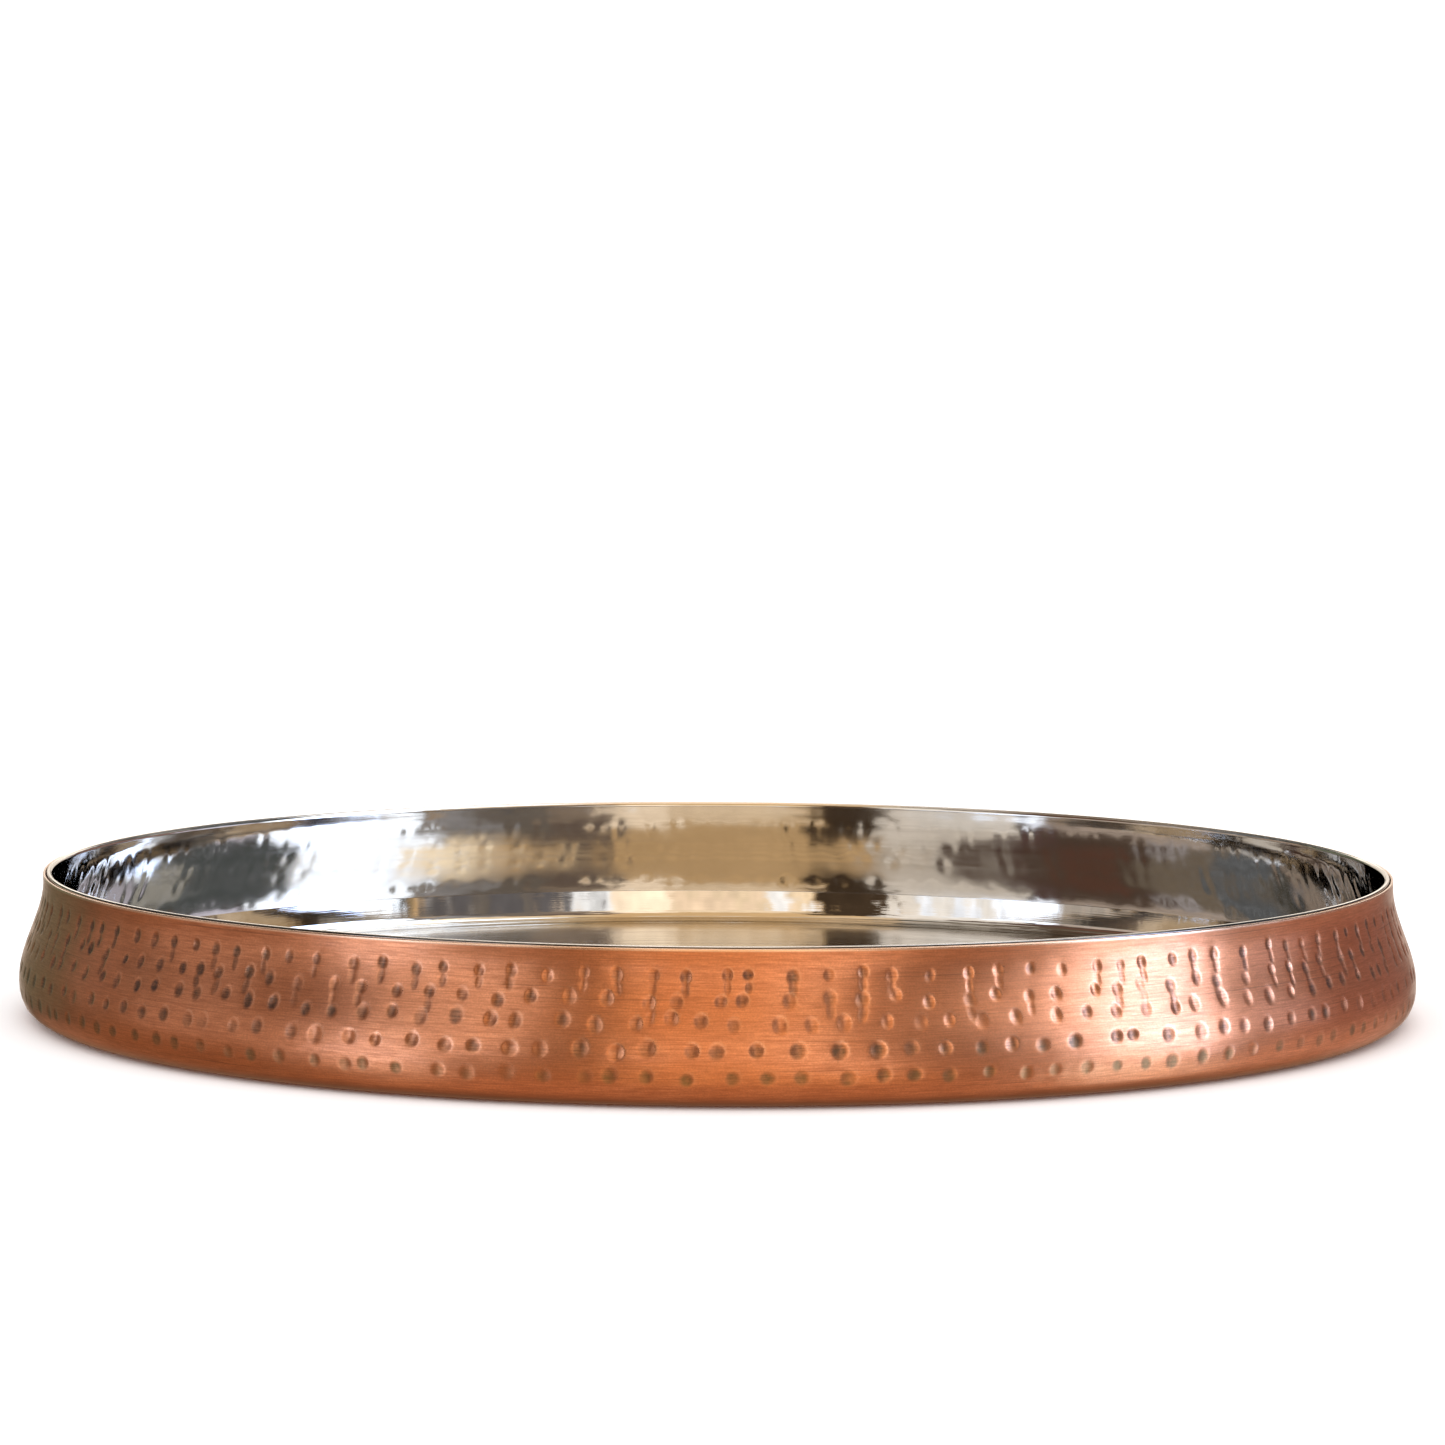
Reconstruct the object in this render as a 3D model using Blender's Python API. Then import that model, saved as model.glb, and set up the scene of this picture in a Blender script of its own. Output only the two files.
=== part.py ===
"""Hammered copper tray: a polished steel pan locked inside a spun copper shell.

Units are metres, +Z is up, and the origin is the centre of the underside of the base.
Both sheets are turned shapes that share one wall curve, so each is spun from its own
closed profile in the XZ plane.
"""

import math

import bmesh
import bpy

# Driving dimensions of the tray
BELLY_RADIUS = 0.1525      # widest part of the wall
BELLY_HEIGHT = 0.0082
FOOT_RADIUS = 0.1445       # edge of the flat base
RIM_RADIUS = 0.1472        # outside of the upright lip
NECK_HEIGHT = 0.0290       # where the shoulder becomes the upright lip
TRAY_HEIGHT = 0.0313
FOOT_FULLNESS = 2.5        # 2 is a quarter ellipse, more is squarer

# Driving dimensions of the two sheets
COPPER_THICKNESS = 0.0005
STEEL_THICKNESS = 0.0009
SHEET_GAP = 0.0003         # running gap that keeps the sheets two separate solids
COPPER_EDGE_DROP = 0.0003  # the copper edge is trimmed a little below the steel edge

# Fineness of the facets
SPIN_STEPS = 80            # a multiple of four puts corners on the X and Y axes
CORNER_STEPS = 7
SHOULDER_STEPS = 8
LIP_STEPS = 4


def clear_scene():
    """Remove every object that the file opened with."""
    for leftover in list(bpy.data.objects):
        bpy.data.objects.remove(leftover, do_unlink=True)


def wall_curve():
    """Outer surface of the wall as (radius, height), from the base's edge up to the neck."""
    power = 2.0 / FOOT_FULLNESS
    curve = []
    for step in range(CORNER_STEPS + 1):
        angle = 0.5 * math.pi * step / CORNER_STEPS
        outward = math.sin(angle) ** power
        upward = 1.0 - max(math.cos(angle), 0.0) ** power
        radius = FOOT_RADIUS + (BELLY_RADIUS - FOOT_RADIUS) * outward
        curve.append((radius, BELLY_HEIGHT * upward))
    for step in range(1, SHOULDER_STEPS + 1):
        rise = step / SHOULDER_STEPS
        ease = rise * rise * (3.0 - 2.0 * rise)
        radius = BELLY_RADIUS + (RIM_RADIUS - BELLY_RADIUS) * ease
        curve.append((radius, BELLY_HEIGHT + (NECK_HEIGHT - BELLY_HEIGHT) * rise))
    return curve


def offset_inward(curve, distance):
    """The same curve moved into the tray along its normals.

    Its first point lies on the flat base and its last on the upright lip, so those two
    move straight up and straight in.
    """
    first_radius, first_height = curve[0]
    last_radius, last_height = curve[-1]
    moved = [(first_radius, first_height + distance)]
    for before, point, after in zip(curve, curve[1:], curve[2:]):
        run = after[0] - before[0]
        rise = after[1] - before[1]
        length = math.hypot(run, rise)
        radius = point[0] - distance * rise / length
        height = point[1] + distance * run / length
        moved.append((radius, height))
    moved.append((last_radius - distance, last_height))
    return moved


def sheet_profile(outer_offset, thickness, lip_top):
    """Closed section of one sheet, from the axis under the base round to the axis above it."""
    curve = wall_curve()
    outside = offset_inward(curve, outer_offset)
    inside = offset_inward(curve, outer_offset + thickness)
    lip_radius = 0.5 * thickness
    lip_centre = RIM_RADIUS - outer_offset - lip_radius
    lip = []
    for step in range(LIP_STEPS + 1):
        angle = math.pi * step / LIP_STEPS
        radius = lip_centre + lip_radius * math.cos(angle)
        lip.append((radius, lip_top - lip_radius + lip_radius * math.sin(angle)))
    underside = [(0.0, outer_offset)]
    floor = [(0.0, outer_offset + thickness)]
    return underside + outside + lip + inside[::-1] + floor


def spun_sheet(name, profile, material):
    """Turn a section about the Z axis into one closed, smooth-shaded body."""
    body = bmesh.new()
    corners = [body.verts.new((radius, 0.0, height)) for radius, height in profile]
    edges = [body.edges.new(pair) for pair in zip(corners, corners[1:])]
    bmesh.ops.spin(body, geom=corners + edges, cent=(0.0, 0.0, 0.0), axis=(0.0, 0.0, 1.0),
                   angle=2.0 * math.pi, steps=SPIN_STEPS, use_merge=True)
    bmesh.ops.remove_doubles(body, verts=body.verts, dist=1e-6)
    bmesh.ops.recalc_face_normals(body, faces=body.faces)
    mesh = bpy.data.meshes.new(name)
    body.to_mesh(mesh)
    body.free()
    mesh.shade_smooth()
    mesh.set_sharp_from_angle(angle=math.radians(40.0))
    mesh.materials.append(material)
    sheet = bpy.data.objects.new(name, mesh)
    bpy.context.scene.collection.objects.link(sheet)
    return sheet


def metal(name, colour, roughness):
    """A bare metal surface."""
    material = bpy.data.materials.new(name)
    material.use_nodes = True
    shader = material.node_tree.nodes["Principled BSDF"]
    shader.inputs["Base Color"].default_value = (*colour, 1.0)
    shader.inputs["Metallic"].default_value = 1.0
    shader.inputs["Roughness"].default_value = roughness
    return material


def outer_copper_shell():
    """The hammered jacket: flat base, belly, shoulder and upright lip in one sheet."""
    profile = sheet_profile(0.0, COPPER_THICKNESS, TRAY_HEIGHT - COPPER_EDGE_DROP)
    return spun_sheet("outer_copper_shell", profile, metal("satin_copper", (0.66, 0.29, 0.15), 0.38))


def inner_steel_pan():
    """The polished liner, which stands just above the copper at the rim."""
    profile = sheet_profile(COPPER_THICKNESS + SHEET_GAP, STEEL_THICKNESS, TRAY_HEIGHT)
    return spun_sheet("inner_steel_pan", profile, metal("polished_steel", (0.74, 0.71, 0.67), 0.10))


clear_scene()
outer_copper_shell()
inner_steel_pan()
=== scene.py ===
"""Looks of the hammered copper tray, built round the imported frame.

Two sheets are rebuilt at full detail: the copper shell, whose hammer marks are real dents in
its mesh, and the polished steel pan, whose wall carries the faint swellings that the hammer
left on the inside. Everything is in metres, +Z up.
"""

import math

import bpy
import numpy as np
from mathutils import Matrix, Vector
from mathutils.geometry import delaunay_2d_cdt


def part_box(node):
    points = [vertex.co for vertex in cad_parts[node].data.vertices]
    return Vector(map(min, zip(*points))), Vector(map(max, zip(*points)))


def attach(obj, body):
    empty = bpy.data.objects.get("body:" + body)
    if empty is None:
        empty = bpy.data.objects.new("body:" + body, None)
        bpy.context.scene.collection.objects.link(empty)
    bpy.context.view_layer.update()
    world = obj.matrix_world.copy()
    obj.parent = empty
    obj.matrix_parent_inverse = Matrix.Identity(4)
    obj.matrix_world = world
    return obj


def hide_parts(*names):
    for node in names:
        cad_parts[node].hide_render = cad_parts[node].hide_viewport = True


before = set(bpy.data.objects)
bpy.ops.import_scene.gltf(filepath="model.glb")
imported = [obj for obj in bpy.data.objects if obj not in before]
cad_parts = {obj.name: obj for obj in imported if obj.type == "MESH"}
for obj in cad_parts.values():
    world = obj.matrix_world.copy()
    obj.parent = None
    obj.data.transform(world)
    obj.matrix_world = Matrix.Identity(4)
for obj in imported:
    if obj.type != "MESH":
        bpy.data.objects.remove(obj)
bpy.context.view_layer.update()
rng = np.random.default_rng(7)

# ---------------------------------------------------------------------------------------------
# Driving sizes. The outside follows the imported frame; the rest are the frame's own proportions.
BELLY_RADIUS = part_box("outer_copper_shell")[1].x
TRAY_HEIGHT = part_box("inner_steel_pan")[1].z
MM = 0.001
FOOT_RADIUS = BELLY_RADIUS - 8.0 * MM
RIM_RADIUS = BELLY_RADIUS - 5.3 * MM
BELLY_HEIGHT = 8.2 * MM
NECK_HEIGHT = 29.0 * MM
FOOT_FULLNESS = 2.5

COPPER_THICKNESS = 0.56 * MM
SEAM_WIDTH = 0.24 * MM
STEEL_THICKNESS = 0.90 * MM
COPPER_EDGE_DROP = 0.42 * MM            # how far the copper's edge lies below the steel's

HAMMERED_FROM = 2.8 * MM                # height at which the plain foot ends
PAN_BEND = 9.0 * MM                     # height at which the liner's wall turns straight
PAN_CORNER_HEIGHT = 4.2 * MM
PAN_CORNER_WIDTH = 3.0 * MM
PAN_LEAN = math.radians(7.0)            # of the straight part

AROUND = 2.0 * math.pi * BELLY_RADIUS   # distance round the belly


# ---------------------------------------------------------------------------------------------
# The wall's section
def smoothstep(low, high, value):
    """Eased step from 0 to 1 between two values."""
    t = np.clip((value - low) / (high - low), 0.0, 1.0)
    return t * t * (3.0 - 2.0 * t)


def wall_section(samples=600):
    """Outer surface of the wall, finely sampled: radius, height and distance along it."""
    power = 2.0 / FOOT_FULLNESS
    turn = np.linspace(0.0, 1.0, samples) ** 2 * 0.5 * math.pi
    corner_r = FOOT_RADIUS + (BELLY_RADIUS - FOOT_RADIUS) * np.sin(turn) ** power
    corner_z = BELLY_HEIGHT * (1.0 - np.clip(np.cos(turn), 0.0, 1.0) ** power)
    rise = np.linspace(0.0, 1.0, samples)[1:]
    shoulder_r = BELLY_RADIUS + (RIM_RADIUS - BELLY_RADIUS) * smoothstep(0.0, 1.0, rise)
    shoulder_z = BELLY_HEIGHT + (NECK_HEIGHT - BELLY_HEIGHT) * rise
    lip_z = np.linspace(NECK_HEIGHT, TRAY_HEIGHT, 60)[1:]
    lip_r = np.full_like(lip_z, RIM_RADIUS)
    radius = np.concatenate([corner_r, shoulder_r, lip_r])
    height = np.concatenate([corner_z, shoulder_z, lip_z])
    along = np.concatenate([[0.0], np.cumsum(np.hypot(np.diff(radius), np.diff(height)))])
    return radius, height, along


SECTION_R, SECTION_Z, SECTION_S = wall_section()
NORMAL_R = np.gradient(SECTION_Z, SECTION_S)
NORMAL_Z = -np.gradient(SECTION_R, SECTION_S)
WALL_LENGTH = SECTION_S[-1]


def along_at_height(height):
    """Distance along the wall from the base's edge to a given height."""
    return float(np.interp(height, SECTION_Z, SECTION_S))


def on_wall(s, inward=0.0):
    """Radius and height of the wall's surface at distance s, moved inward along its normal."""
    radius = np.interp(s, SECTION_S, SECTION_R) - inward * np.interp(s, SECTION_S, NORMAL_R)
    height = np.interp(s, SECTION_S, SECTION_Z) - inward * np.interp(s, SECTION_S, NORMAL_Z)
    return radius, height


# ---------------------------------------------------------------------------------------------
# Hammer marks: rows of punches, each an ellipse pressed into the wall
class Marks:
    """Every hammer mark: its place round the wall (u) and along it (v), half width, half length,
    tilt, depth, and stain with its painted shade."""

    def __init__(self, rows):
        made = []
        columns = None
        for row in rows:
            columns = self.places(columns if row["follows"] else None, row["count"])
            made += self.blows(columns, row)
        self.table = np.array(made)

    @staticmethod
    def places(columns, count):
        """Where one row's punches fall. A row either keeps near the columns of the row above
        or finds its own spacing; the hammer wanders slowly in both."""
        step = AROUND / count
        sway = np.cumsum(rng.normal(0.0, 0.09, count))
        sway -= np.linspace(0.0, sway[-1], count)
        if columns is None:
            return (np.arange(count) + 0.5 + 0.11 * rng.normal(size=count) + 0.6 * sway) * step
        return columns + (0.07 * rng.normal(size=count) + 0.5 * sway) * step

    @staticmethod
    def blows(places, row):
        """The marks of one row. Height, size and strength of the blows all vary a little, and the
        patina is heavier in some stretches of the wall than in others. Painted shade and light
        also swing the stain with bearing: it is darkest so many degrees to the right of the front,
        and again at every third of the way round."""
        found = []
        waves = rng.uniform(0.0, 2.0 * math.pi, 3)
        for u in places:
            turn = u / BELLY_RADIUS
            stretch = sum(math.sin(k * turn + w) for k, w in zip((5, 11, 17), waves)) / 3.0
            v = along_at_height(row["height"]) + row["scatter"] * rng.normal()
            size = 1.0 + 0.07 * rng.normal()
            shape = 1.0 + 0.06 * rng.normal()
            tilt = 0.12 * rng.normal()
            depth = row["depth"] * (0.55 + 0.8 * rng.random())
            # Painted shade and light: the stain swings with bearing from the front
            bearing_shade = math.cos(3.0 * (turn + math.radians(90.0 - row["darkest"])))
            stain_and_shade = row["patina"] + 0.26 * stretch + row["swing"] * bearing_shade
            stain_and_shade += 0.5 * (rng.random() - 0.5)
            stain_and_shade = float(np.clip(stain_and_shade, 0.15, 1.0))
            half = row["width"] * size
            reach = row["length"] * size * shape
            found.append([u, v, half, reach, tilt, depth, stain_and_shade])
            if rng.random() < row["tail"]:
                shift = 0.16 * row["width"] * rng.normal()
                drop = row["length"] * (1.40 + 0.35 * rng.random())
                found.append([u + shift, v - drop, 0.72 * half, 1.2 * reach,
                              tilt, 0.5 * depth, 0.7 * stain_and_shade])
        return found

    def wrapped(self):
        """All marks, with copies of those near the join so that the pattern runs on round."""
        reach = 8.0 * MM
        before = self.table[self.table[:, 0] > AROUND - reach].copy()
        after = self.table[self.table[:, 0] < reach].copy()
        before[:, 0] -= AROUND
        after[:, 0] += AROUND
        return np.concatenate([before, self.table, after])

    def field(self, u, v):
        """Height of the hammered surface over the smooth wall, how stained it is, and how bright
        its edge is made. The bright edge is a painted highlight on each mark's upper right side,
        partly rubbed wear, and the dark patina is set off towards the lower left as painted shade."""
        order = np.argsort(u)
        su, sv = u[order], v[order]
        pit, bowl, burr, cover, stain_and_shade, shine = np.zeros((6, len(u)))
        for mu, mv, a, b, tilt, depth, dark in self.wrapped():
            reach = 2.4 * max(a, b)
            lo, hi = np.searchsorted(su, [mu - reach, mu + reach])
            if lo == hi:
                continue
            du, dv = su[lo:hi] - mu, sv[lo:hi] - mv
            x = (du * math.cos(tilt) + dv * math.sin(tilt)) / a
            y = (dv * math.cos(tilt) - du * math.sin(tilt)) / b
            rho = np.hypot(x, y)
            inside = np.clip(1.0 - rho ** 2, 0.0, 1.0)
            pit[lo:hi] = np.minimum(pit[lo:hi], -depth * inside ** 1.4)
            bowl[lo:hi] -= 0.35 * depth * np.exp(-0.8 * rho ** 2)
            burr[lo:hi] = np.maximum(burr[lo:hi], depth * np.exp(-((rho - 1.1) / 0.13) ** 2))
            cover[lo:hi] = np.maximum(cover[lo:hi], 1.0 - smoothstep(0.8, 1.0, rho))
            # Painted shade: the patina's dark core is set off towards the mark's lower left
            core_stain_and_shade = dark * (1.0 - smoothstep(0.5, 1.12, np.hypot(x + 0.1, y + 0.08)))
            stain_and_shade[lo:hi] = np.maximum(stain_and_shade[lo:hi], core_stain_and_shade)
            # Painted highlight: a bright arc on the upper right edge, partly rubbed wear
            lit_side = (0.75 * x + 0.55 * y) / np.maximum(rho, 0.1)
            rubbed_and_lit = np.exp(-((rho - 1.02) / 0.12) ** 2) * smoothstep(-0.2, 0.9, lit_side)
            shine[lo:hi] = np.maximum(shine[lo:hi], rubbed_and_lit * depth / (0.2 * MM))
        result = np.empty((3, len(u)))
        result[:, order] = [pit + bowl + 0.05 * burr * (1.0 - cover), stain_and_shade, shine]
        return result


# Rows of punches from the rim down. The upper ones are long, the lower ones round. Width and
# length are half sizes, scatter moves a blow up or down, tail is the share of blows that have one,
# and a row that follows keeps near the columns of the row above. Patina is how dark the row's
# stain is. Swing is how much painted shade and light change it with bearing round the tray,
# deepest at the bearing given by darkest.
MARK_ROWS = [
    dict(height=25.7 * MM, count=134, width=1.24 * MM, length=1.52 * MM, depth=0.19 * MM,
         scatter=0.25 * MM, tail=0.8, follows=False, patina=0.64, darkest=-50.0, swing=0.30),
    dict(height=21.1 * MM, count=134, width=1.34 * MM, length=1.66 * MM, depth=0.19 * MM,
         scatter=0.36 * MM, tail=0.5, follows=True, patina=0.56, darkest=-50.0, swing=0.30),
    dict(height=16.7 * MM, count=133, width=1.42 * MM, length=1.76 * MM, depth=0.19 * MM,
         scatter=0.36 * MM, tail=0.0, follows=False, patina=0.54, darkest=-45.0, swing=0.30),
    dict(height=11.5 * MM, count=132, width=1.60 * MM, length=1.66 * MM, depth=0.20 * MM,
         scatter=0.30 * MM, tail=0.0, follows=False, patina=0.60, darkest=30.0, swing=0.18),
    dict(height=6.3 * MM, count=132, width=1.56 * MM, length=1.58 * MM, depth=0.11 * MM,
         scatter=0.22 * MM, tail=0.0, follows=False, patina=0.72, darkest=25.0, swing=0.06),
]
marks = Marks(MARK_ROWS)


def wander(u, v, amplitude):
    """Slow unevenness of a hand-worked sheet, periodic round the tray."""
    turns = u / AROUND * 2.0 * math.pi
    wave = 0.5 * np.sin(3.0 * turns + 0.6) + 0.35 * np.sin(7.0 * turns + 60.0 * v)
    wave = wave + 0.25 * np.sin(19.0 * turns - 90.0 * v) + 0.16 * np.sin(31.0 * turns + 150.0 * v)
    return amplitude * (wave - 0.9)


# ---------------------------------------------------------------------------------------------
# Mesh building
class Sheet:
    """Collects points and faces of one turned sheet, with what its material needs to know."""

    def __init__(self, name):
        self.name = name
        self.points = []
        # The layers carry along, stain with painted shade, the edge, and rubbed wear with a
        # painted highlight
        self.layers = {"along": [], "stain_and_shade": [], "edge": [], "wear_and_highlight": []}
        self.faces = []
        self.size = 0

    def add(self, points, along, stain_and_shade=0.0, edge=0.0, wear_and_highlight=0.0):
        """Adds points and returns their numbers."""
        count = len(points)
        self.points.append(np.asarray(points, float))
        values = {"along": along, "stain_and_shade": stain_and_shade, "edge": edge, "wear_and_highlight": wear_and_highlight}
        for key, value in values.items():
            self.layers[key].append(np.broadcast_to(np.asarray(value, float), count))
        numbers = np.arange(self.size, self.size + count)
        self.size += count
        return numbers

    def ring(self, radius, height, count, along, stain_and_shade=0.0, edge=0.0):
        """A level ring of points, the first one on +X."""
        angle = np.arange(count) * 2.0 * math.pi / count
        points = np.stack([radius * np.cos(angle), radius * np.sin(angle),
                           np.full(count, height)], axis=1)
        return self.add(points, along, stain_and_shade, edge)

    def band(self, lower, upper):
        """Faces between two rings. Seen from outside, the first ring is below the second.
        One ring may have twice as many points as the other."""
        n, m = len(lower), len(upper)
        if n == m:
            ahead = np.roll(np.arange(n), -1)
            self.faces += np.stack([lower, lower[ahead], upper[ahead], upper], axis=1).tolist()
        elif n == 2 * m:
            for k in range(m):
                a, b, c = lower[2 * k], lower[2 * k + 1], lower[(2 * k + 2) % n]
                d, e = upper[k], upper[(k + 1) % m]
                self.faces += [[a, b, d], [b, e, d], [b, c, e]]
        else:
            for k in range(n):
                a, b = lower[k], lower[(k + 1) % n]
                c, d, e = upper[2 * k], upper[2 * k + 1], upper[(2 * k + 2) % m]
                self.faces += [[a, d, c], [a, b, d], [b, e, d]]

    def fan(self, ring, centre, up):
        """Closes a ring onto a point on the axis."""
        following = np.roll(ring, -1)
        for a, b in zip(ring, following):
            self.faces.append([a, b, centre] if up else [b, a, centre])

    def build(self, material):
        """The finished, smooth-shaded object."""
        mesh = bpy.data.meshes.new(self.name)
        points = np.concatenate(self.points)
        mesh.from_pydata(points.tolist(), [], [list(map(int, f)) for f in self.faces])
        for key, parts in self.layers.items():
            layer = mesh.attributes.new(key, "FLOAT", "POINT")
            layer.data.foreach_set("value", np.concatenate(parts).astype(np.float32))
        mesh.shade_smooth()
        mesh.materials.append(material)
        mesh.validate()
        sheet = bpy.data.objects.new(self.name, mesh)
        bpy.context.scene.collection.objects.link(sheet)
        return sheet


def around_axis(radius, height, u):
    """World points from section coordinates and the distance round the belly."""
    angle = u / BELLY_RADIUS
    return np.stack([radius * np.cos(angle), radius * np.sin(angle), height], axis=1)


def hammered_points(low, high, columns, field_gap):
    """Points of the hammered band in (u, v): rings round every mark, and a loose field
    between the marks."""
    rings = (0.0, 0.42, 0.72, 0.9, 1.0, 1.1, 1.28, 1.6)
    spokes = (1, 8, 12, 14, 14, 14, 12, 10)
    chosen = []
    cells = {}
    fine_gap = 0.17 * MM        # least distance between points inside a mark
    outer_gap = 0.24 * MM       # and just outside one
    clear = 0.5 * MM            # the loose field keeps this far from both
    edge_gap = 0.3 * MM
    cell = outer_gap

    def keep(u, v, apart):
        """Keeps a point unless another one is already close to it."""
        u %= AROUND
        column, row = int(u / cell), int(v / cell)
        for i in (column - 1, column, column + 1):
            for j in (row - 1, row, row + 1):
                for p, q in cells.get((i, j), ()):
                    if (p - u) ** 2 + (q - v) ** 2 < apart * apart:
                        return
        cells.setdefault((column, row), []).append((u, v))
        chosen.append((u, v))

    for rank, (share, count) in enumerate(zip(rings, spokes)):
        for mu, mv, a, b, tilt in marks.table[:, :5]:
            start = 0.5 * (rank % 2)
            for k in range(count):
                angle = 2.0 * math.pi * (k + start) / count
                x, y = a * share * math.cos(angle), b * share * math.sin(angle)
                u = mu + x * math.cos(tilt) - y * math.sin(tilt)
                v = mv + x * math.sin(tilt) + y * math.cos(tilt)
                if low + edge_gap < v < high - edge_gap:
                    keep(u, v, fine_gap if share < 1.2 else outer_gap)
    rows = int((high - low) / field_gap)
    across = int(AROUND / field_gap)
    crowd = np.array(chosen)
    crowd = crowd[np.argsort(crowd[:, 0])]
    for i in range(1, rows):
        for k in range(across):
            u = (k + 0.5 * (i % 2) + 0.2 * rng.uniform(-1.0, 1.0)) * AROUND / across
            v = low + (i + 0.2 * rng.uniform(-1.0, 1.0)) * (high - low) / rows
            lo, hi = np.searchsorted(crowd[:, 0], [u - clear, u + clear])
            near = crowd[lo:hi]
            if len(near) == 0 or np.hypot(near[:, 0] - u, near[:, 1] - v).min() > clear:
                chosen.append((u % AROUND, v))
    inner = np.array(chosen)
    edge_u = np.arange(columns) * AROUND / columns
    edges = [np.stack([edge_u, np.full(columns, v)], axis=1) for v in (low, high)]
    return np.concatenate(edges + [inner])


def joined_triangles(points):
    """Delaunay triangles of points on the unrolled wall, closed up where it meets itself."""
    margin = 6.0 * MM
    numbers = np.arange(len(points))
    left = points[:, 0] < margin
    right = points[:, 0] > AROUND - margin
    moved = np.concatenate([points, points[left] + [AROUND, 0.0], points[right] - [AROUND, 0.0]])
    owner = np.concatenate([numbers, numbers[left], numbers[right]])
    corners = [Vector(place) for place in (moved / MM).tolist()]
    placed, _, faces, origins, _, _ = delaunay_2d_cdt(corners, [], [], 0, 1e-6)
    back = np.array([o[0] for o in origins])
    faces = np.array([f for f in faces if len(f) == 3])
    corner_u = np.array([[p.x, p.y] for p in placed])[faces][:, :, 0] * MM
    centre = corner_u.mean(axis=1)
    wanted = (centre >= 0.0) & (centre < AROUND)
    return owner[back[faces[wanted]]]


HIDDEN_STAIN = 0.6      # tarnish on the copper's side that faces the liner


def copper_shell(material):
    """The jacket: flat underside, plain foot corner, hammered wall, trimmed edge, plain back."""
    sheet = Sheet("copper_shell_hammered")
    columns = 320
    foot_rings = 9
    lip_steps = 8
    band_low = along_at_height(HAMMERED_FROM)
    lip_radius = 0.5 * COPPER_THICKNESS
    edge_top = TRAY_HEIGHT - COPPER_EDGE_DROP
    band_high = along_at_height(edge_top - lip_radius - 0.35 * MM)

    # Underside, from its centre out to the foot corner
    centre = sheet.add([[0.0, 0.0, 0.0]], 0.0)[0]
    rings = []
    for share, count in ((0.1, 40), (0.25, 80), (0.5, 160), (0.72, 320), (0.9, 320), (1.0, 320)):
        rings.append(sheet.ring(FOOT_RADIUS * share, 0.0, count, FOOT_RADIUS * share))
    sheet.fan(rings[0], centre, up=False)
    for inner, outer in zip(rings, rings[1:]):
        sheet.band(inner, outer)
    previous = rings[-1]
    for step in range(1, foot_rings):
        s = band_low * step / foot_rings
        radius, height = on_wall(s)
        current = sheet.ring(radius, height, columns, FOOT_RADIUS + s)
        sheet.band(previous, current)
        previous = current

    # The hammered band
    places = hammered_points(band_low, band_high, columns, field_gap=1.5 * MM)
    triangles = joined_triangles(places)
    u, v = places[:, 0], places[:, 1]
    # Height, stain with painted shade, and a painted highlight that is partly rubbed wear
    lift, stain_and_shade, wear_and_highlight = marks.field(u, v)
    fade = smoothstep(band_low, band_low + 1.2 * MM, v)
    fade *= 1.0 - smoothstep(band_high - 0.6 * MM, band_high, v)
    lift = (lift + wander(u, v, 0.05 * MM)) * fade
    radius, height = on_wall(v, -lift)
    numbers = sheet.add(around_axis(radius, height, u), FOOT_RADIUS + v, stain_and_shade * fade,
                        wear_and_highlight=wear_and_highlight * fade)
    sheet.faces += numbers[triangles].tolist()
    sheet.band(previous, numbers[:columns])
    previous = numbers[columns:2 * columns]

    # Trimmed edge, then down the hidden side
    lip_centre = RIM_RADIUS - lip_radius
    start = edge_top - lip_radius
    for step in range(lip_steps + 1):
        angle = math.pi * step / lip_steps
        along = FOOT_RADIUS + WALL_LENGTH + lip_radius * angle
        current = sheet.ring(lip_centre + lip_radius * math.cos(angle),
                             start + lip_radius * math.sin(angle), columns, along, 0.0, 1.0)
        sheet.band(previous, current)
        previous = current
    for s in np.linspace(along_at_height(edge_top - 2.0 * lip_radius), 0.0, 18):
        radius, height = on_wall(s, COPPER_THICKNESS)
        current = sheet.ring(radius, height, columns, FOOT_RADIUS + s, HIDDEN_STAIN)
        sheet.band(previous, current)
        previous = current
    for share, count in ((0.6, 160), (0.3, 80), (0.1, 40)):
        current = sheet.ring(FOOT_RADIUS * share, COPPER_THICKNESS, count, FOOT_RADIUS * share,
                             HIDDEN_STAIN)
        sheet.band(previous, current)
        previous = current
    middle = sheet.add([[0.0, 0.0, COPPER_THICKNESS]], 0.0, HIDDEN_STAIN)[0]
    sheet.fan(previous, middle, up=True)
    return sheet.build(material)


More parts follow.
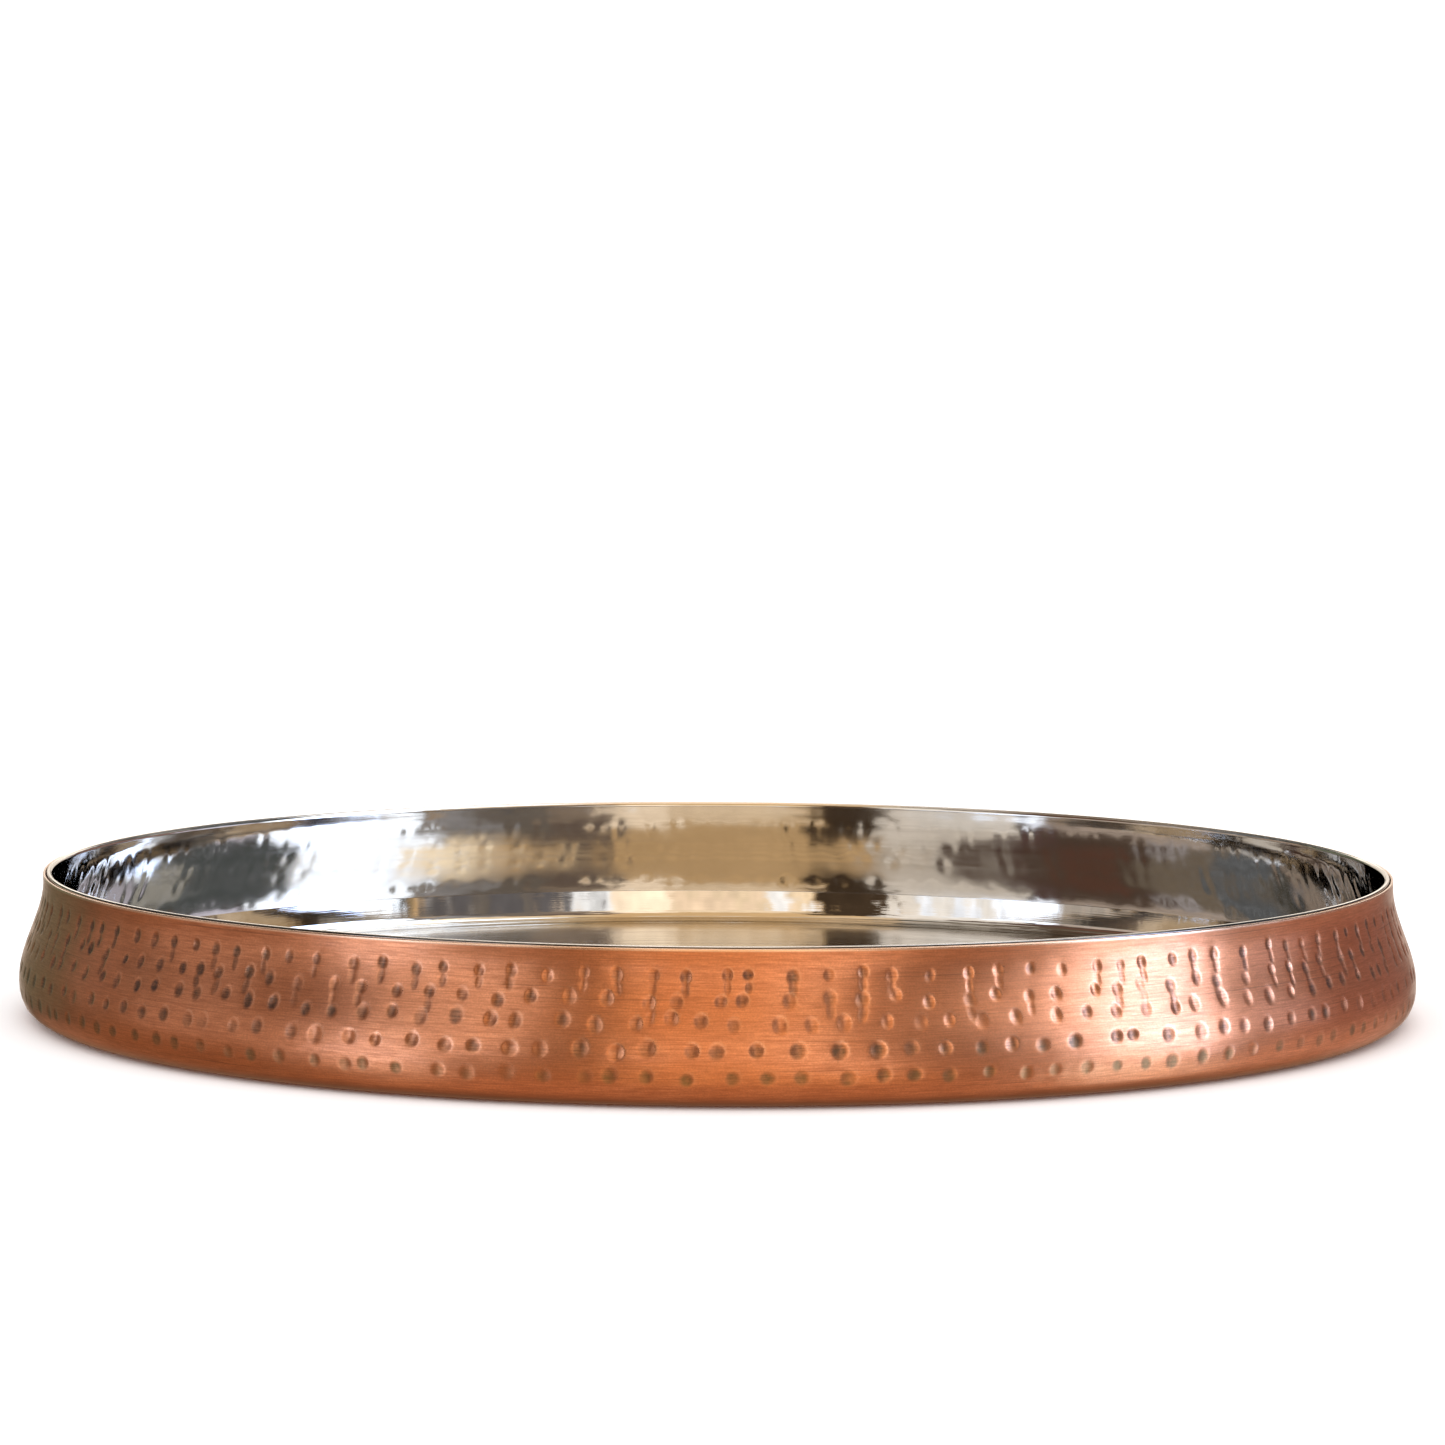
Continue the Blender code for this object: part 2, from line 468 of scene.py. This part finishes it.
def steel_pan(material):
    """The liner: mirror floor, a wall that shows the hammering faintly, and a rounded edge."""
    sheet = Sheet("steel_pan_polished")
    fine, coarse = 1280, 320
    outside = COPPER_THICKNESS + SEAM_WIDTH
    inside = outside + STEEL_THICKNESS
    lip_radius = 0.5 * STEEL_THICKNESS
    start = TRAY_HEIGHT - lip_radius

    # Hidden side, from the centre out and up
    centre = sheet.add([[0.0, 0.0, outside]], 0.0)[0]
    rings = []
    for share, count in ((0.12, 40), (0.3, 80), (0.6, 160), (1.0, 320)):
        rings.append(sheet.ring(FOOT_RADIUS * share, outside, count, FOOT_RADIUS * share))
    sheet.fan(rings[0], centre, up=False)
    for inner, outer in zip(rings, rings[1:]):
        sheet.band(inner, outer)
    previous = rings[-1]
    top = along_at_height(start)
    for s in np.linspace(0.0, top, 18)[1:]:
        radius, height = on_wall(s, outside)
        current = sheet.ring(radius, height, coarse, FOOT_RADIUS + s)
        sheet.band(previous, current)
        previous = current

    # Edge
    lip_centre = RIM_RADIUS - outside - lip_radius
    counts = [320, 320, 640, 640, 640, 640, 1280, 1280, 1280]
    for step, count in enumerate(counts):
        angle = math.pi * (step + 0.5) / len(counts)
        # Painted shade: the first two rings, facing the seam, are marked to be made near black
        seam = 1.0 if step < 2 else 0.0
        current = sheet.ring(lip_centre + lip_radius * math.cos(angle),
                             start + lip_radius * math.sin(angle), count,
                             FOOT_RADIUS + WALL_LENGTH + lip_radius * angle, seam, 1.0 - seam)
        sheet.band(previous, current)
        previous = current

    # Polished wall, down to the floor
    u = np.arange(fine) * AROUND / fine
    radii, heights, distances = pan_face(inside, top)
    for radius, height, s in zip(radii, heights, distances):
        v = np.full(fine, s)
        swell = swelling(u, v) + wander(u, v, 0.03 * MM)
        swell *= smoothstep(6.0 * MM, 10.0 * MM, height)
        swell *= 1.0 - smoothstep(top - 1.2 * MM, top, s)
        points = around_axis(radius - swell, np.full(fine, height), u)
        current = sheet.add(points, FOOT_RADIUS + s)
        sheet.band(previous, current)
        previous = current

    # Floor
    floor_edge = radii[-1]
    for share, count in ((0.985, 640), (0.95, 320), (0.88, 320), (0.78, 320), (0.66, 160),
                         (0.5, 160), (0.3, 80), (0.12, 40)):
        radius = floor_edge * share
        angle = np.arange(count) * 2.0 * math.pi / count
        dish = 0.05 * MM * (np.sin(2.0 * angle + 0.4) * share + 0.6 * np.sin(5.0 * angle)) * share
        points = np.stack([radius * np.cos(angle), radius * np.sin(angle),
                           inside + dish * (1.0 - share)], axis=1)
        current = sheet.add(points, radius)
        sheet.band(previous, current)
        previous = current
    middle = sheet.add([[0.0, 0.0, inside]], 0.0)[0]
    sheet.fan(previous, middle, up=True)
    return sheet.build(material)


def pan_face(inside, top):
    """Inner face of the liner from its edge down to the floor: radius, height and distance
    along the wall. It leans in slightly at the rim. Below the belly it runs straight to a
    corner that is tighter than the copper's."""
    bend = along_at_height(PAN_BEND)
    beside_bend = 0.08 * MM     # extra rings here keep the bend crisp
    s = np.append(np.linspace(top, bend, 34)[:-1], [bend + beside_bend, bend])
    above = np.clip(s - along_at_height(26.5 * MM), 0.0, None)
    lean_in = 0.07 * above ** 2 / (above + 1.5 * MM)
    radius, height = on_wall(s, inside + lean_in)
    fall = np.linspace(0.0, height[-1] - PAN_CORNER_HEIGHT, 7)
    fall[0] = beside_bend
    straight_r = radius[-1] - fall * math.tan(PAN_LEAN)
    straight_z = height[-1] - fall
    turn = np.linspace(0.0, 0.5 * math.pi, 9)[1:]
    corner_r = straight_r[-1] - PAN_CORNER_WIDTH * (1.0 - np.cos(turn))
    corner_z = PAN_CORNER_HEIGHT - (PAN_CORNER_HEIGHT - inside) * np.sin(turn)
    radius = np.concatenate([radius, straight_r, corner_r])
    height = np.concatenate([height, straight_z, corner_z])
    travelled = np.cumsum(np.hypot(np.diff(radius), np.diff(height)))
    distance = top - np.concatenate([[0.0], travelled])
    return radius, height, distance


def swelling(u, v):
    """The hammer marks as they come through to the steel: low, wide swellings."""
    order = np.argsort(u)
    su, sv = u[order], v[order]
    total = np.zeros(len(u))
    for mu, mv, a, b, depth in marks.wrapped()[:, [0, 1, 2, 3, 5]]:
        reach = 3.0 * b
        lo, hi = np.searchsorted(su, [mu - reach, mu + reach])
        if lo < hi:
            rho2 = ((su[lo:hi] - mu) / a) ** 2 + ((sv[lo:hi] - mv) / b) ** 2
            total[lo:hi] += 0.30 * depth * np.exp(-1.1 * rho2)
    result = np.empty(len(u))
    result[order] = total
    return result


# ---------------------------------------------------------------------------------------------
# Materials
class Nodes:
    """Short calls for building a node tree."""

    def __init__(self, tree):
        self.tree = tree
        tree.nodes.clear()

    def add(self, kind, inputs=None, **settings):
        node = self.tree.nodes.new(kind)
        for key, value in settings.items():
            setattr(node, key, value)
        for key, value in (inputs or {}).items():
            self.put(node.inputs[key], value)
        return node

    def put(self, socket, value):
        """Links a node's output to a socket, or gives the socket a value."""
        if isinstance(value, bpy.types.NodeSocket):
            self.tree.links.new(value, socket)
        elif isinstance(value, (tuple, list)) and socket.type == "RGBA" and len(value) == 3:
            socket.default_value = (*value, 1.0)
        else:
            socket.default_value = value

    def math(self, operation, first, second=0.0, clamp=False):
        node = self.add("ShaderNodeMath", {0: first, 1: second}, operation=operation)
        node.use_clamp = clamp
        return node.outputs[0]

    def mix(self, factor, first, second, blend="MIX"):
        """One colour mixed from two, or another blend of them."""
        node = self.add("ShaderNodeMix", data_type="RGBA", blend_type=blend)
        self.put(node.inputs["Factor"], factor)
        self.put(node.inputs[6], first)
        self.put(node.inputs[7], second)
        return node.outputs[2]

    def remap(self, value, low, high, to_low=0.0, to_high=1.0, smooth=False):
        """A value carried from one range to another and held inside it."""
        node = self.add("ShaderNodeMapRange", {"Value": value, "From Min": low, "From Max": high,
                                               "To Min": to_low, "To Max": to_high})
        node.interpolation_type = "SMOOTHSTEP" if smooth else "LINEAR"
        return node.outputs["Result"]

    def noise(self, vector, scale, detail=2.0, roughness=0.5, distortion=0.0):
        return self.add("ShaderNodeTexNoise", {"Vector": vector, "Scale": scale, "Detail": detail,
                                               "Roughness": roughness,
                                               "Distortion": distortion}).outputs["Fac"]

    def layer(self, name):
        """What the mesh says at each point: distance along, stain with painted shade, the edge, or
        rubbed wear with a painted highlight.
        """
        return self.add("ShaderNodeAttribute", attribute_name=name).outputs["Fac"]

    def brushed(self, along, fineness, stretch):
        """Coordinates whose noise draws thin lines round the tray."""
        place = self.add("ShaderNodeTexCoord").outputs["Object"]
        parts = self.add("ShaderNodeSeparateXYZ", {0: place})
        x = self.math("MULTIPLY", parts.outputs[0], stretch)
        y = self.math("MULTIPLY", parts.outputs[1], stretch)
        z = self.math("MULTIPLY", along, fineness)
        return self.add("ShaderNodeCombineXYZ", {0: x, 1: y, 2: z}).outputs[0]


def new_material(name):
    """A material with an empty node tree, and the short calls that fill it."""
    material = bpy.data.materials.new(name)
    material.use_nodes = True
    return material, Nodes(material.node_tree)


def copper_material():
    """Satin copper brushed round the tray, with dark patina left in the hammer marks."""
    material, n = new_material("satin_copper_hammered")
    place = n.add("ShaderNodeTexCoord").outputs["Object"]
    along = n.layer("along")
    stain_and_shade = n.layer("stain_and_shade")
    edge = n.layer("edge")
    wear_and_highlight = n.layer("wear_and_highlight")

    fine = n.noise(n.brushed(along, 4800.0, 170.0), 1.0, 3.0, 0.7)
    broad = n.noise(n.brushed(along, 2300.0, 120.0), 1.0, 3.0, 0.7)
    smear = n.noise(n.brushed(along, 520.0, 130.0), 1.0, 5.0, 0.7)
    scratch = n.remap(n.noise(n.brushed(along, 2400.0, 16.0), 1.0, 1.0), 0.70, 0.76)
    cloud = n.noise(place, 38.0, 4.0, 0.6, 0.4)
    grain = n.noise(place, 2600.0, 2.0, 0.6)

    # Bare metal: warm copper, a little pinker and browner in drifts, with brushed lines
    bare = n.mix(n.remap(cloud, 0.35, 0.68), (0.80, 0.325, 0.165), (0.83, 0.375, 0.215))
    lines = n.remap(n.math("ADD", n.math("MULTIPLY", fine, 0.6), n.math("MULTIPLY", broad, 0.4)),
                    0.40, 0.60)
    bare = n.mix(n.math("MULTIPLY", lines, 0.62), bare, (0.46, 0.17, 0.085))
    bare = n.mix(n.remap(smear, 0.50, 0.72, 0.0, 0.45), bare, (0.42, 0.16, 0.08))
    bare = n.mix(n.remap(grain, 0.35, 0.7, 0.0, 0.4), bare, (0.42, 0.175, 0.095))
    bare = n.mix(n.math("MULTIPLY", scratch, 0.4), bare, (0.22, 0.10, 0.06))
    # Patina in the marks: slate in the upper ones, olive brown low on the belly
    wiped = n.remap(fine, 0.36, 0.60, 0.75, 1.0)
    ragged = n.remap(n.noise(place, 900.0, 3.0, 0.6), 0.3, 0.7, 0.7, 1.25)
    # The layer read here holds patina with painted shade: set off to each mark's lower left and
    # swung with bearing from the front
    dark = n.math("MULTIPLY", n.math("MULTIPLY", stain_and_shade, wiped), ragged, clamp=True)
    dark = n.remap(dark, 0.03, 0.86)
    low = n.remap(along, FOOT_RADIUS + 10.5 * MM, FOOT_RADIUS + 18.0 * MM, 1.0, 0.0)
    olive = n.math("ADD", n.math("MULTIPLY", low, 0.75), n.remap(cloud, 0.4, 0.6, 0.0, 0.25))
    patina = n.mix(olive, (0.11, 0.072, 0.062), (0.27, 0.17, 0.08))
    colour = n.mix(n.math("MULTIPLY", dark, 0.92), bare, patina)
    # Painted highlight on the marks' upper right edges, partly rubbed wear
    colour = n.mix(n.math("MULTIPLY", wear_and_highlight, 0.35, clamp=True), colour, (0.95, 0.58, 0.42))
    # Painted shade: the foot corner is darkened towards the floor, for its contact shadow
    uneven = n.math("ADD", along, n.math("MULTIPLY", cloud, 2.0 * MM))
    painted_foot_shade = n.remap(uneven, FOOT_RADIUS + 4.8 * MM, FOOT_RADIUS + 9.2 * MM, 0.82, 0.0, smooth=True)
    colour = n.mix(painted_foot_shade, colour, (0.16, 0.065, 0.032))
    # Small dark specks
    specks = n.add("ShaderNodeTexVoronoi", {"Vector": place, "Scale": 210.0}, feature="F1")
    size = n.noise(place, 55.0, 1.0)
    speck = n.math("LESS_THAN", specks.outputs["Distance"],
                   n.remap(size, 0.60, 0.78, 0.0, 0.085))
    colour = n.mix(n.math("MULTIPLY", speck, 0.7), colour, (0.07, 0.035, 0.02))
    # Burnished edge
    colour = n.mix(n.math("MULTIPLY", edge, 0.85), colour, (0.93, 0.66, 0.50))

    rough = n.remap(lines, 0.0, 1.0, 0.29, 0.38)
    rough = n.math("ADD", rough, n.math("MULTIPLY", dark, 0.10))
    rough = n.math("SUBTRACT", rough, n.math("MULTIPLY", wear_and_highlight, 0.05))
    rough = n.math("SUBTRACT", rough, n.math("MULTIPLY", edge, 0.1))
    relief = n.math("ADD", n.math("MULTIPLY", fine, 0.6), n.math("MULTIPLY", broad, 0.4))
    bump = n.add("ShaderNodeBump", {"Height": relief, "Strength": 0.5, "Distance": 0.03 * MM})
    round_tray = n.add("ShaderNodeTangent", direction_type="RADIAL", axis="Z")
    # The brushing spreads reflections up and down and keeps them sharper from side to side
    shader = n.add("ShaderNodeBsdfPrincipled", {
        "Base Color": colour, "Metallic": 1.0, "Roughness": rough, "Anisotropic": 0.7,
        "Anisotropic Rotation": 0.25, "Tangent": round_tray.outputs[0],
        "Coat Weight": 0.25, "Coat Roughness": 0.12, "Normal": bump.outputs[0]})
    output = n.add("ShaderNodeOutputMaterial")
    n.put(output.inputs["Surface"], shader.outputs[0])
    return material


def steel_material():
    """Mirror-polished stainless steel with faint turning lines and a little smearing."""
    material, n = new_material("mirror_steel")
    place = n.add("ShaderNodeTexCoord").outputs["Object"]
    along = n.layer("along")
    edge = n.layer("edge")
    fine = n.noise(n.brushed(along, 4200.0, 18.0), 1.0, 3.0, 0.6)
    rings = n.noise(n.brushed(along, 900.0, 5.0), 1.0, 4.0, 0.7)
    haze = n.noise(place, 26.0, 4.0, 0.6, 0.5)
    floor = n.remap(along, FOOT_RADIUS - 4.0 * MM, FOOT_RADIUS, 1.0, 0.0, smooth=True)

    colour = n.mix(n.remap(haze, 0.35, 0.65), (0.70, 0.685, 0.665), (0.63, 0.61, 0.585))
    turned = n.math("MULTIPLY", n.remap(rings, 0.42, 0.66), n.math("MULTIPLY", floor, 0.3))
    colour = n.mix(turned, colour, (0.50, 0.485, 0.465))
    # Painted highlight: the rounded edge is made near white and cream, over what it reflects
    colour = n.mix(n.math("MULTIPLY", edge, 0.85), colour, (0.98, 0.94, 0.91))
    # Painted shade: the side of the edge that faces the seam is made near black
    colour = n.mix(n.layer("stain_and_shade"), colour, (0.05, 0.035, 0.03))
    rough = n.remap(haze, 0.35, 0.7, 0.02, 0.05)
    dull = n.math("MULTIPLY", floor, n.remap(rings, 0.35, 0.65, 0.04, 0.16))
    rough = n.math("ADD", rough, dull)
    rough = n.math("ADD", rough, n.math("MULTIPLY", edge, 0.14))
    bump = n.add("ShaderNodeBump", {"Height": fine, "Strength": 0.12, "Distance": 0.02 * MM})
    round_tray = n.add("ShaderNodeTangent", direction_type="RADIAL", axis="Z")
    shader = n.add("ShaderNodeBsdfPrincipled", {
        "Base Color": colour, "Metallic": 1.0, "Roughness": rough,
        "Anisotropic": n.math("MULTIPLY", floor, 0.6), "Anisotropic Rotation": 0.25,
        "Tangent": round_tray.outputs[0], "Normal": bump.outputs[0]})
    output = n.add("ShaderNodeOutputMaterial")
    n.put(output.inputs["Surface"], shader.outputs[0])
    return material


# ---------------------------------------------------------------------------------------------
# Studio: a pale floor, and soft surroundings that the metal reflects
def pale_floor():
    """A plain white surface just under the tray."""
    material, n = new_material("pale_floor")
    place = n.add("ShaderNodeTexCoord").outputs["Object"]
    tone = n.mix(n.noise(place, 3.0, 2.0), (0.93, 0.93, 0.93), (0.95, 0.95, 0.95))
    shader = n.add("ShaderNodeBsdfDiffuse", {"Color": tone})
    output = n.add("ShaderNodeOutputMaterial")
    n.put(output.inputs["Surface"], shader.outputs[0])
    half = 40.0
    gap = 0.2 * MM      # keeps the floor clear of the tray's underside
    mesh = bpy.data.meshes.new("floor")
    mesh.from_pydata([(-half, -half, 0.0), (half, -half, 0.0), (half, half, 0.0),
                      (-half, half, 0.0)], [], [(0, 1, 2, 3)])
    mesh.materials.append(material)
    floor = bpy.data.objects.new("floor", mesh)
    floor.location.z = -gap
    floor.visible_glossy = False
    bpy.context.scene.collection.objects.link(floor)


# What stands round the tray, as the metal sees it. Bearings are degrees to the right of the
# viewer's side, elevations are degrees above the floor: bearing, elevation, half width, half
# height, colour, softness of the edge. Later patches cover earlier ones.
SURROUNDINGS = [
    (150, -42, 42, 26, (0.40, 0.225, 0.13), 0.5),   # the table's far side, right and left
    (-150, -42, 42, 26, (0.38, 0.22, 0.13), 0.5),
    (-60, -19, 14, 13, (1.15, 1.04, 0.90), 0.6),    # light lying on the table
    (-72, -40, 18, 10, (0.74, 0.62, 0.48), 0.6),
    (-96, 16, 30, 60, (0.27, 0.21, 0.15), 0.5),     # brown hedge to the left
    (-102, -30, 34, 22, (0.32, 0.185, 0.10), 0.5),
    (-84, 6, 24, 14, (0.66, 0.53, 0.44), 0.5),      # paler ground before it
    (-76, 33, 17, 14, (0.13, 0.085, 0.06), 0.25),   # red-brown brickwork
    (-80, 38, 8, 7, (0.19, 0.09, 0.06), 0.6),
    (-63, 28, 4, 13, (0.15, 0.085, 0.07), 0.6),
    (-87, 52, 14, 9, (0.15, 0.105, 0.07), 0.4),
    (-95, 24, 4, 6, (0.55, 0.50, 0.50), 0.6),
    (-116, 24, 8, 8, (0.16, 0.17, 0.18), 0.5),
    (-124, 10, 9, 9, (0.42, 0.30, 0.22), 0.5),
    (10, 28, 45, 66, (0.94, 0.61, 0.30), 0.3),      # sandy wall behind the viewer
    (-40, 62, 14, 14, (0.98, 0.70, 0.42), 0.4),
    (4, 14, 20, 13, (1.28, 0.98, 0.65), 0.6),       # paler at its foot
    (16, 16, 8, 18, (1.70, 1.38, 1.02), 0.5),
    (-44, 24, 14, 23, (1.24, 1.12, 0.98), 0.2),     # pale house front
    (-46, 17, 11, 8, (1.28, 1.20, 1.10), 0.6),
    (-56, 43, 8, 6, (0.14, 0.085, 0.06), 0.5),
    (-59, 55, 17, 9, (0.82, 0.74, 0.64), 0.4),
    (-57, 0, 9.5, 14, (2.10, 2.30, 2.65), 0.5),     # cool light low on the left
    (-24, 21, 6.5, 22, (0.08, 0.05, 0.028), 0.25),  # dark figure
    (-26, -14, 10, 15, (0.38, 0.23, 0.125), 0.5),
    (30, 18, 9, 31, (0.22, 0.16, 0.125), 0.25),     # trunk
    (30, 10, 9, 12, (0.40, 0.30, 0.22), 0.5),
    (21, -5, 11, 9, (1.45, 1.15, 0.86), 0.5),       # pale ground at its foot
    (41, 12, 9, 26, (0.24, 0.20, 0.165), 0.4),
    (44, -18, 14, 18, (0.44, 0.27, 0.155), 0.5),
    (50, 24, 5, 15, (0.42, 0.40, 0.40), 0.5),
    (43, 57, 14, 10, (1.15, 0.86, 0.53), 0.4),
    (50, 43, 7, 6, (1.15, 0.86, 0.55), 0.5),
    (75, 33, 17, 43, (2.3, 2.5, 2.8), 0.25),        # tall soft window
    (60, 43, 11, 5, (1.95, 1.62, 1.15), 0.4),
    (55, 60, 8, 10, (1.15, 0.98, 0.76), 0.5),
    (77, 14, 9, 21, (3.8, 4.9, 7.4), 0.6),
    (97, 54, 10, 13, (2.2, 2.2, 2.2), 0.3),
    (71, -23, 10, 12, (1.75, 2.1, 2.15), 0.5),      # its light on the table
    (82, -34, 14, 10, (1.6, 1.85, 1.9), 0.5),
    (97, -45, 14, 9, (1.45, 1.45, 1.35), 0.5),
    (112, -22, 14, 16, (0.78, 0.56, 0.43), 0.5),
    (130, 2, 26, 14, (0.30, 0.17, 0.135), 0.5),     # brown shade to the right
    (103, 9, 10, 9, (1.05, 1.02, 1.20), 0.5),
    (108, 29, 13, 10, (0.12, 0.135, 0.135), 0.4),
    (128, 26, 8, 5, (0.60, 0.58, 0.52), 0.5),
    (143, -18, 16, 10, (0.60, 0.38, 0.27), 0.5),
    (170, 14, 11, 26, (1.8, 1.65, 1.45), 0.4),      # open light behind, right and left
    (-170, 20, 11, 26, (1.8, 1.65, 1.45), 0.4),
    (170, 0, 12, 11, (0.85, 0.75, 0.64), 0.5),
    (-170, 0, 12, 11, (0.80, 0.71, 0.60), 0.5),
    (-146, 2, 15, 14, (0.17, 0.18, 0.115), 0.5),
    (0, 5, 11, 3.5, (1.32, 0.99, 0.68), 0.4),       # sunlit things far off, just over the rim
    (22.5, 6, 2.5, 3.5, (1.5, 1.5, 1.5), 0.4),
    (37, 5, 13, 4, (0.17, 0.155, 0.155), 0.4),
    (-13, 6, 3, 3.5, (1.5, 1.45, 1.4), 0.4),
    (-44, 6, 12, 3.5, (1.40, 1.45, 1.55), 0.4),
    (-80, 7, 18, 3.5, (0.60, 0.52, 0.44), 0.5),
]


def surroundings():
    """World light: even for the floor and the backdrop, structured for what the metal reflects."""
    world = bpy.data.worlds.new("studio")
    world.use_nodes = True
    bpy.context.scene.world = world
    world.cycles.sampling_method = "NONE"
    n = Nodes(world.node_tree)
    direction = n.add("ShaderNodeTexCoord").outputs["Generated"]
    parts = n.add("ShaderNodeSeparateXYZ", {0: direction})
    x, y, z = parts.outputs
    bearing = n.math("DEGREES", n.math("ARCTAN2", x, n.math("MULTIPLY", y, -1.0)))
    elevation = n.math("DEGREES", n.math("ARCSINE", z))
    ragged = n.add("ShaderNodeTexNoise", {"Vector": direction, "Scale": 11.0, "Detail": 6.0,
                                          "Roughness": 0.62})
    shifts = n.add("ShaderNodeSeparateColor", {0: ragged.outputs["Color"]})
    bearing = n.math("ADD", bearing, n.remap(shifts.outputs[0], 0.0, 1.0, -16.0, 16.0))
    elevation = n.math("ADD", elevation, n.remap(shifts.outputs[1], 0.0, 1.0, -18.0, 18.0))

    leaves = n.noise(direction, 16.0, 5.0, 0.65)
    colour = n.mix(n.remap(leaves, 0.42, 0.60), (0.035, 0.032, 0.025), (0.13, 0.115, 0.085))
    under = n.remap(elevation, -12.0, -30.0, 0.0, 1.0, smooth=True)
    colour = n.mix(under, colour, (0.56, 0.335, 0.20))
    for centre, height, wide, tall, tint, soft in SURROUNDINGS:
        across = n.math("DIVIDE", n.math("SUBTRACT", bearing, float(centre)), float(wide))
        up = n.math("DIVIDE", n.math("SUBTRACT", elevation, float(height)), float(tall))
        away = n.math("ADD", n.math("POWER", n.math("ABSOLUTE", across), 4.0),
                      n.math("POWER", n.math("ABSOLUTE", up), 4.0))
        there = n.remap(away, 1.0 + soft, 1.0 - soft, smooth=True)
        colour = n.mix(there, colour, tint)
    mottle = n.remap(n.noise(direction, 22.0, 6.0, 0.7), 0.35, 0.65, 0.80, 1.20)
    shade = n.add("ShaderNodeCombineXYZ", {0: mottle, 1: mottle, 2: mottle}).outputs[0]
    colour = n.mix(1.0, colour, shade, "MULTIPLY")
    # Light breaking through leaves at the sides
    aside = n.remap(n.math("ABSOLUTE", bearing), 94.0, 106.0, smooth=True)
    gaps = n.math("MULTIPLY", aside, n.remap(n.noise(direction, 34.0, 4.0, 0.6), 0.57, 0.64))
    gaps = n.math("MULTIPLY", gaps, n.remap(elevation, 4.0, 14.0, 0.0, 0.7, smooth=True))
    colour = n.mix(gaps, colour, (0.72, 0.76, 0.84))
    behind = n.remap(n.math("ABSOLUTE", bearing), 104.0, 124.0, smooth=True)
    sky = n.math("MULTIPLY", behind, n.remap(elevation, 58.0, 70.0, smooth=True))
    overhead = n.math("MAXIMUM", sky, n.remap(elevation, 74.0, 84.0, smooth=True))
    colour = n.mix(overhead, colour, (1.6, 1.5, 1.38))

    rays = n.add("ShaderNodeLightPath")
    plain = n.mix(rays.outputs["Is Diffuse Ray"], (1.07, 1.07, 1.07), (1.45, 1.45, 1.45))
    plain = n.mix(rays.outputs["Is Glossy Ray"], plain, colour)
    background = n.add("ShaderNodeBackground", {"Color": plain, "Strength": 1.0})
    output = n.add("ShaderNodeOutputWorld")
    n.put(output.inputs["Surface"], background.outputs[0])


def camera():
    """Long lens a little above the rim, with the tray low in the frame."""
    data = bpy.data.cameras.new("camera")
    data.lens = 145.1
    data.sensor_width = 36.0
    data.clip_end = 200.0
    eye = bpy.data.objects.new("camera", data)
    bpy.context.scene.collection.objects.link(eye)
    distance = 1.28
    elevation = math.radians(6.80)
    target = Vector((0.0, 0.0, 0.017))
    back = Vector((0.0, -math.cos(elevation), math.sin(elevation)))
    eye.location = target + back * distance
    look = (-back).to_track_quat("-Z", "Y").to_matrix()
    lift = Matrix.Rotation(math.radians(2.046), 3, "X")
    swing = Matrix.Rotation(math.radians(-0.034), 3, "Y")
    roll = Matrix.Rotation(math.radians(0.32), 3, "Z")
    eye.rotation_euler = (look @ swing @ lift @ roll).to_euler()
    bpy.context.scene.camera = eye


# ---------------------------------------------------------------------------------------------
# The scene
camera()
surroundings()
pale_floor()
bpy.context.scene.view_settings.view_transform = "Standard"

shell = copper_shell(copper_material())
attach(shell, "root")
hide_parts("outer_copper_shell")

pan = steel_pan(steel_material())
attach(pan, "root")
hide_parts("inner_steel_pan")
